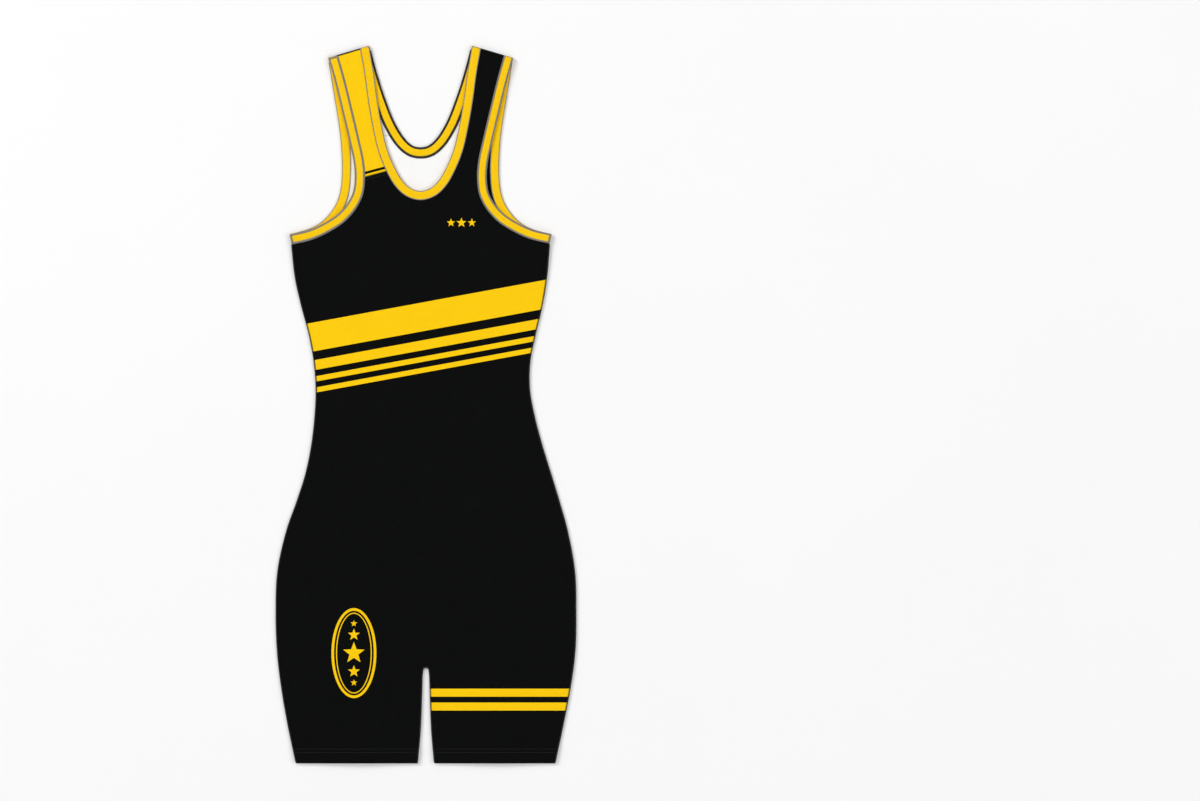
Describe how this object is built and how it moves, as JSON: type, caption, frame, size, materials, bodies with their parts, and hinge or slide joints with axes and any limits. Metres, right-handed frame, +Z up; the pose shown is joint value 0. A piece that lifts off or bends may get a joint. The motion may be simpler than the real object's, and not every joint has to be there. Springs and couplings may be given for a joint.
{
  "type": "wrestling singlet",
  "caption": "Sleeveless sports suit laid flat: scooped neck and armholes with folded bindings, shoulder straps, a fitted waist and short legs with plain hems.",
  "frame": {"origin": "under the middle of the laid-out garment, on the surface that it rests on", "axes": "+Y from the leg hems to the shoulders, +X towards the wearer's left, +Z up through the front"},
  "size_m": [0.36, 0.861, 0.0056],
  "materials": {
    "black_knit": "smooth, slightly shiny stretch knit",
    "gold_knit": "smooth, slightly shiny stretch knit",
    "gold_binding": "folded stretch binding with two rows of grey stitches",
    "black_tape": "matt woven tape",
    "white_inside": "unprinted inner side of the knit",
    "grey_thread": "polyester sewing thread",
    "black_thread": "polyester sewing thread"
  },
  "bodies": {
    "root": {"front_panel": "black_knit", "back_panel": "black_knit", "strap_panel_front_right": "gold_knit", "strap_panel_back_right": "gold_knit", "neck_binding_front": "gold_binding", "neck_binding_back": "gold_binding", "armhole_binding_front_right": "gold_binding", "armhole_binding_front_left": "gold_binding", "armhole_binding_back_right": "gold_binding", "armhole_binding_back_left": "gold_binding", "shoulder_tape_right": "black_tape", "shoulder_tape_left": "black_tape"}
  },
  "joints": []
}
